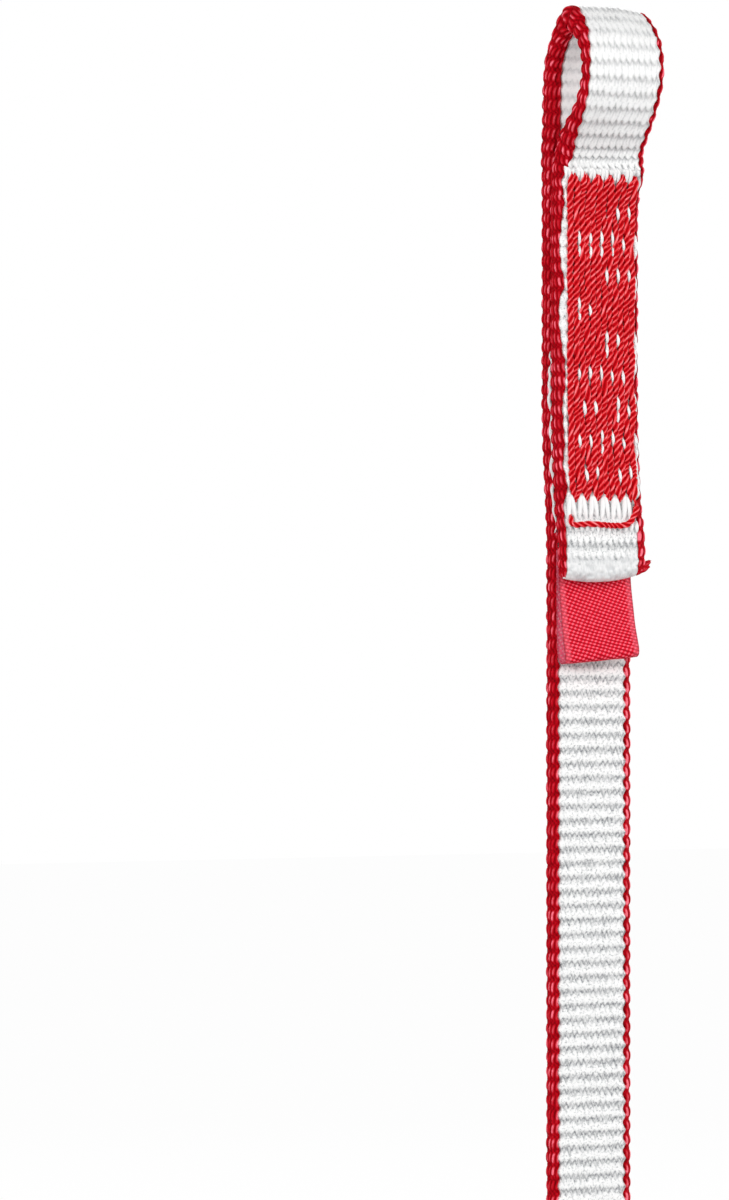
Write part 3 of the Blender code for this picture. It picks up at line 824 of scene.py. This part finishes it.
def seam_yarn(seed):
    """A white yarn between the two layers on the left, that shows in short lengths."""
    places = np.arange(SEAM_START, TACK_DROP + 0.001, RIB_PITCH / 2)
    odd = np.random.default_rng(seed + 200).random(len(places))
    return [(SEAM_ACROSS + SEAM_STRAY * odd[k], 0.0, drop) for k, drop in enumerate(places)]


def on_tape(end, layer, lift):
    """Turns (across, out, drop) places on a sewn end's outer face into world places."""
    def to_place(place):
        if layer == "tail":
            near, aside = tail_drop(place[:, 2]), BLOCK_ASIDE - OUTER_ASIDE
        else:
            near, aside = place[:, 2] - EYE_LENGTH + EYE_END, 0.0
        along = TAPE.start + near if end == "upper" else TAPE.end - near
        return TAPE.place(place[:, 0] + aside, along, -(lift + place[:, 1]))
    return to_place


def folded_label(name):
    """The label: one closed folded strip of cloth, sewn in between the layers."""
    line, run = even_run(LABEL_ROUTE, LABEL_STEP)
    tangent = unit(np.gradient(line, axis=0))
    outward = columns(tangent[:, 1], -tangent[:, 0])
    count = len(line)
    shares = chain([-1.0], np.linspace(-1, 1, LABEL_COLUMNS), [1.0])
    open_row = open_rows(len(shares))
    stations = chain(np.arange(count), np.arange(count)[::-1], [0])
    sides = chain(open_rows(count), -open_rows(count), [0.0])

    def shape(i, j):
        station, share = stations[i], shares[j]
        hang = ease(line[station, 1], *LABEL_HANG)
        ripple = LABEL_RIPPLE * noise_at("ripple", share * 3, run[station] * 300) * hang
        lift = sides[i] * open_row[j] * LABEL_CLOTH / 2 + ripple
        depth = line[station, 0] + outward[station, 0] * lift + LABEL_TURN * share * hang
        drop = line[station, 1] + outward[station, 1] * lift - LABEL_TILT / 2 * share * hang
        across = LABEL_ASIDE + share * LABEL_HALF
        # The inside's colour, and a painted shadow along both long sides with a painted sheen just
        # inside it
        values = {"reverse": np.where(sides[i] < 0, 1.0, 0.0),
                  "edge": ease(np.abs(share), 0.955, 0.99),
                  "margin": ease(np.abs(share), 0.82, 0.88)}
        return to_world(across, depth, drop), columns(across, run[station]), values

    return skin(name, len(stations) - 1, len(shares) - 1, shape), run[-1]


class Graph:
    """Builds one material's nodes; every value in it is a Value."""

    def __init__(self, holder):
        holder.use_nodes = True
        self.material = holder
        self.tree = holder.node_tree

    def node(self, kind, settings=None, values=(), **sockets):
        """Any node: its type, its settings first, then values or links for its sockets."""
        made = self.tree.nodes.new("ShaderNode" + kind)
        for key, value in (settings or {}).items():
            setattr(made, key, value)
        for socket, value in zip(made.inputs, values):
            self.feed(socket, value)
        for key, value in sockets.items():
            self.feed(made.inputs[key.replace("_", " ")], value)
        return made

    def feed(self, socket, value):
        if isinstance(value, Value):
            self.tree.links.new(value.socket, socket)
        else:
            socket.default_value = value

    def attribute(self, name):
        return Value(self, self.node("Attribute", {"attribute_name": name}).outputs["Fac"])

    def weave(self):
        return Value(self, self.node("UVMap", {"uv_map": "weave"}).outputs["UV"])

    def noise(self, vector, scale, detail=2.0, roughness=0.5):
        made = self.node("TexNoise", Vector=vector, Scale=scale, Detail=detail,
                         Roughness=roughness)
        return Value(self, made.outputs["Fac"])

    def fibres(self, factors):
        """Noise drawn out along the yarns."""
        made = self.node("VectorMath", {"operation": "MULTIPLY"}, (self.weave(), factors))
        return self.noise(Value(self, made.outputs["Vector"]), 1.0, 3.0, 0.6)

    def mix(self, share, first, second):
        """A colour between two colours."""
        made = self.node("Mix", {"data_type": "RGBA"}, (share,))
        self.feed(made.inputs[6], first)
        self.feed(made.inputs[7], second)
        return Value(self, made.outputs[2])

    def bump(self, height, distance):
        made = self.node("Bump", Height=height, Distance=distance)
        return Value(self, made.outputs["Normal"])

    def finished(self, **sockets):
        shader = self.tree.nodes["Principled BSDF"]
        for key, value in sockets.items():
            self.feed(shader.inputs[key.replace("_", " ")], value)
        return self.material


class Value:
    """A node's output socket, with Python's operators for the Math nodes that are used."""

    def __init__(self, graph, socket):
        self.graph = graph
        self.socket = socket

    def math(self, operation, *values, clamp=False):
        settings = {"operation": operation, "use_clamp": clamp}
        return Value(self.graph, self.graph.node("Math", settings, values).outputs[0])

    def __add__(self, other):
        return self.math("ADD", self, other)

    __radd__ = __add__

    def __sub__(self, other):
        return self.math("SUBTRACT", self, other)

    def __rsub__(self, other):
        return self.math("SUBTRACT", other, self)

    def __mul__(self, other):
        return self.math("MULTIPLY", self, other)

    __rmul__ = __mul__

    def __pow__(self, other):
        return self.math("POWER", self, other)

    def wave(self):
        return self.math("SINE", self)

    def limited(self):
        return self.math("ADD", self, 0.0, clamp=True)

    def along(self, direction):
        """How far this place lies along a direction."""
        made = self.graph.node("VectorMath", {"operation": "DOT_PRODUCT"}, (self, direction))
        return Value(self.graph, made.outputs["Value"])


def colour(red, green, blue):
    """A material colour from the sRGB values read off the photograph."""
    linear = [(c / 255 / 12.92 if c <= 10 else ((c / 255 + 0.055) / 1.055) ** 2.4)
              for c in (red, green, blue)]
    return (*linear, 1.0)


def webbing_white():
    graph = Graph(bpy.data.materials.new("webbing_white"))
    painted_shade, melted = graph.attribute("painted_shade"), graph.attribute("melted")
    fibres = graph.fibres((9.0, 1.2, 1.0))
    patches = graph.noise(graph.weave(), 0.5, 2.0)
    specks = (graph.noise(graph.weave(), 3.0, 2.0, 0.7) - 0.51) * 3.2
    # Painted shade greys the white in gaps and grooves, mixed with fibre noise and small specks
    shade_and_specks = (painted_shade * (0.9 + 0.7 * (fibres - 0.5)) + (fibres - 0.5) * 0.2).limited()
    shade_and_specks = (shade_and_specks + specks.limited() * graph.attribute("specked")).limited()
    white = graph.mix(patches, colour(250, 250, 249), colour(242, 242, 242))
    woven = graph.mix(shade_and_specks, white, colour(128, 131, 135))
    # A melted end is a duller white that greys further with the painted shade of its lumps and with
    # fibre noise
    fused = graph.mix((painted_shade + (fibres - 0.4)).limited(), colour(236, 236, 236), colour(176, 179, 182))
    base = graph.mix(melted, woven, fused)
    return graph.finished(Base_Color=base, Roughness=0.52, Specular_IOR_Level=0.35,
                          Normal=graph.bump(fibres * (1 - melted), 0.00003))


def red_yarn(name, dark, middle, bright, depth, painted_highlight_power):
    graph = Graph(bpy.data.materials.new(name))
    painted_shade = graph.attribute("painted_shade")
    fibres = graph.fibres((8.0, 1.0, 1.0))
    patches = graph.noise(graph.weave(), 0.9, 2.0)
    # Painted shade: towards the dark colour in gaps between yarns; painted highlight: a narrow bright
    # colour on their crests
    level = (1 - painted_shade + (fibres - 0.5) * 0.3 + (patches - 0.5) * 0.5).limited()
    lit = graph.mix((level ** painted_highlight_power).limited(), colour(*middle), colour(*bright))
    base = graph.mix((level * depth).limited(), colour(*dark), lit)
    return graph.finished(Base_Color=base, Roughness=0.6, Specular_IOR_Level=0.03,
                          Normal=graph.bump(fibres, 0.00003))


def label_cloth():
    """Fine twill: small bright dots in leaning rows on the outside; the inside is painted paler,
    standing in for light on a face in shade; painted sheen on the margins, painted shadow on the edges.
    """
    graph = Graph(bpy.data.materials.new("label_red"))
    weave = graph.weave()
    reverse, edge = graph.attribute("reverse"), graph.attribute("edge")
    uneven = graph.noise(weave, 1.4, 3.0, 0.6)
    leaning = (weave.along((10.0, 6.0, 0.0)) + uneven * 2.0).wave()
    crossing = (weave.along((-4.6, 13.4, 0.0)) + uneven * 1.6).wave()
    dots = (leaning * 0.65 + crossing * 0.65 + (uneven - 0.5) * 1.2).limited()
    ground = graph.mix((crossing * 0.5 + 0.5 + (uneven - 0.5) * 0.8).limited(), colour(168, 0, 22),
                       colour(240, 14, 46))
    front = graph.mix(dots, ground, colour(255, 104, 124))
    # Painted sheen on the margins
    front = graph.mix(graph.attribute("margin") * 0.26, front, colour(244, 124, 144))
    # The inside is painted pale and pink, standing in for light on a face that lies in shade
    inside = graph.mix(dots, colour(255, 116, 146), colour(255, 172, 188))
    base = graph.mix(reverse, front, inside)
    # Painted shadow along the edges
    base = graph.mix(edge * 0.6, base, colour(130, 16, 34))
    return graph.finished(Base_Color=base, Roughness=0.6, Specular_IOR_Level=0.08,
                          Normal=graph.bump(dots, 0.00004))


MATERIALS = {
    "webbing_white": webbing_white(),
    # Each red yarn: a painted shade colour, its own red, a painted highlight colour, how far the shade
    # reaches and how narrow the highlight is
    "selvage_red": red_yarn("selvage_red", (104, 0, 4), (188, 2, 22), (255, 120, 138), 1.8, 7.0),
    "thread_red": red_yarn("thread_red", (142, 0, 4), (226, 6, 24), (255, 150, 156), 1.2, 8.0),
    "label_red": label_cloth(),
}


def dress(piece, slot, body, *nodes):
    """Gives a piece its material, its body if it is given one, and hides the nodes it replaces."""
    piece.data.materials.clear()
    piece.data.materials.append(MATERIALS[slot])
    if body:
        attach(piece, body)
    if nodes:
        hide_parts(*nodes)


def bend(piece, upper, lower, hinge, reach):
    """Bakes a piece's transform into its mesh; the piece is not bent."""
    reach = Vector((0, 0, reach))
    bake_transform(piece)


# The tape is parted at ribs: each bend has its own length, the sewn ends three each.  A row has
# a stretch, where it ends, its body, the body beyond it where it spans two (it then gets no body), and
# what its nodes are called
UPPER, MIDDLE, LOWER = (TOP_Z - HINGES[f"{name}_bend"].z for name in ("upper", "middle", "lower"))
BEND_ROOM, BEND_REACH, LABEL_REACH = 0.0075, 0.0048, 0.0008
STRETCHES = (
    ("upper_tail", TAIL_TOP, "upper_end", None, "upper_tail"),
    ("upper_eye", EYE_LENGTH, "upper_end", None, "upper_eye"),
    ("upper_standing", UPPER - BEND_ROOM, "upper_end", None, "upper_standing"),
    ("upper_bend", (UPPER + MIDDLE) / 2, "upper_end", "strand_upper", "strand_upper"),
    ("middle_bend", (MIDDLE + LOWER) / 2, "strand_upper", "strand_lower", "strand_lower"),
    ("lower_bend", LOWER + BEND_ROOM, "strand_lower", "lower_end", None),
    ("lower_standing", OVERALL - EYE_LENGTH, "lower_end", None, "lower_standing"),
    ("lower_eye", TAPE.end - TAIL_RUN, "lower_end", None, "lower_eye"),
    ("lower_tail", TAPE.end, "lower_end", None, "lower_tail"),
)
start = TAPE.start
for stretch, until, body, next_body, node in STRETCHES:
    end = round(until / RIB_PITCH) * RIB_PITCH if until < TAPE.end else until
    trio = (
        (ribbed_middle(f"{stretch}_ribbed_middle", start, end), "webbing_white", "core"),
        (red_edge(f"{stretch}_left_selvage", -1, start, end), "selvage_red", "left_edge"),
        (red_edge(f"{stretch}_right_selvage", 1, start, end), "selvage_red", "right_edge"),
    )
    for piece, slot, kind in trio:
        dress(piece, slot, None if next_body else body, *([f"{node}_{kind}"] if node else []))
        if next_body:
            bend(piece, body, next_body, stretch, BEND_REACH)
    start = end

# The stitched blocks: needle thread and cross tack in front, bobbin thread behind
for end, seed in (("upper", 5), ("lower", 9)):
    on_tail, on_standing = on_tape(end, "tail", BLOCK_LIFT), on_tape(end, "standing", BLOCK_LIFT)
    needle = round_strand(f"{end}_needle_stitches", with_tack(block_points(seed)), on_tail,
                          THREAD_SIDES, twisted(TACK_LENGTH))
    bobbin = round_strand(f"{end}_bobbin_stitches", block_points(seed + 1), on_standing,
                          THREAD_SIDES, twisted(0.0))
    drawn = [(points, on_tail, 9, spindle(radius)) for points, radius in white_yarns(seed)]
    seam = seam_yarn(seed), on_tape(end, "standing", -LAYER_STEP / 2), 10, spindle(SEAM_RADIUS)
    dress(joined(f"{end}_drawn_white_yarns", *drawn, seam), "webbing_white", f"{end}_end")
    dress(needle, "thread_red", f"{end}_end", f"{end}_needle_thread")
    dress(bobbin, "thread_red", f"{end}_end", f"{end}_bobbin_thread")

# Frayed red yarns at the upper tail's corner: (across, out, drop) routes and radii
TUFT = (
    (((0.0047, 0.0004, 0.0722), (0.0056, 0.0006, 0.0719), (0.0064, 0.0007, 0.0712)), 0.00082),
    (((0.0047, 0.0001, 0.0725), (0.0057, 0.0003, 0.0723), (0.0066, 0.0003, 0.0718)), 0.0008),
    (((0.0046, 0.0005, 0.0726), (0.0055, 0.0008, 0.0727), (0.0062, 0.0009, 0.0726)), 0.0007),
    (((0.0047, -0.0003, 0.0723), (0.0054, -0.0003, 0.0718), (0.006, -0.0002, 0.0711)), 0.0007),
)
yarns = [(points, on_tape("upper", "tail", 0.0), 10, tapered(radius)) for points, radius in TUFT]
dress(joined("upper_frayed_yarns", *yarns), "selvage_red", "upper_end", "upper_frayed_tip")

label, label_length = folded_label("folded_label")
dress(label, "label_red", None, "label_seat", "label_flap")
bend(label, "upper_end", "label", "label_lift", LABEL_REACH)

# Camera at the photograph's angle: level with the middle of the picture, 25 degrees to the left
VIEW_ANGLE = math.radians(25)
VIEW_DISTANCE, VIEW_ASIDE = 0.7, 0.02887
SEEN = Vector((0.0, BACK_Y - 0.001116, -0.0735))
RIGHT = Vector((math.cos(VIEW_ANGLE), -math.sin(VIEW_ANGLE), 0.0))
FORWARD = Vector((math.sin(VIEW_ANGLE), math.cos(VIEW_ANGLE), 0.0))
lens = bpy.data.cameras.new("camera")
lens.lens = 162.8
lens.clip_start = 0.01
camera = placed("camera", lens)
camera.location = SEEN - VIEW_DISTANCE * FORWARD - VIEW_ASIDE * RIGHT
camera.rotation_euler = Euler((math.pi / 2, 0.0, -VIEW_ANGLE))
scene.camera = camera
LIT = Vector((0.0, 0.0, -0.09))


def lamp(name, place, size, power):
    data = bpy.data.lights.new(name, "AREA")
    data.size = size
    data.energy = power
    made = placed(name, data)
    made.location = place
    made.rotation_euler = (LIT - Vector(place)).to_track_quat("-Z", "Y").to_euler()


lamp("key_lamp", (0.05, -0.95, 0.3), 0.5, 2.5)
lamp("left_lamp", (-1.02, -0.5, 0.16), 0.6, 9.2)
lamp("right_lamp", (1.02, -0.45, 0.24), 0.6, 8.6)
lamp("back_lamp", (0.3, 0.95, 0.35), 0.8, 8.0)

# The room is white to the camera and in gloss, and lights the object softly
ROOM_LIGHT = 0.22
room = Graph(bpy.data.worlds.new("soft_room"))
scene.world = room.material
rays = room.node("LightPath")
looked_at = Value(room, rays.outputs["Is Camera Ray"])
looked_at = looked_at.math("MAXIMUM", looked_at, Value(room, rays.outputs["Is Glossy Ray"]))
room.feed(room.tree.nodes["Background"].inputs["Color"], (1.0, 1.0, 1.0, 1.0))
room.feed(room.tree.nodes["Background"].inputs["Strength"], ROOM_LIGHT + (1 - ROOM_LIGHT) * looked_at)

# White paper far below, almost as bright to the camera as the room
FLOOR_DROP, FLOOR_SIZE, FLOOR_GLOW = 0.262, 6.0, 0.98
work = bmesh.new()
bmesh.ops.create_grid(work, x_segments=8, y_segments=8, size=FLOOR_SIZE / 2)
bmesh.ops.translate(work, verts=work.verts, vec=(0.0, 0.0, -FLOOR_DROP))
surface = bpy.data.meshes.new("floor")
work.to_mesh(surface)
work.free()
floor = placed("floor", surface)
paper = Graph(bpy.data.materials.new("floor_white"))
paper.finished(Base_Color=(0.6, 0.6, 0.6, 1.0), Roughness=0.9, Specular_IOR_Level=0.0)
rays = paper.node("LightPath")
glow = paper.node("Emission")
seen_as = paper.node("MixShader", values=(
    FLOOR_GLOW * Value(paper, rays.outputs["Is Camera Ray"]),
    Value(paper, paper.tree.nodes["Principled BSDF"].outputs[0]), Value(paper, glow.outputs[0])))
paper.feed(paper.tree.nodes["Material Output"].inputs["Surface"], Value(paper, seen_as.outputs[0]))
surface.materials.append(paper.material)

scene.view_settings.view_transform = "Standard"
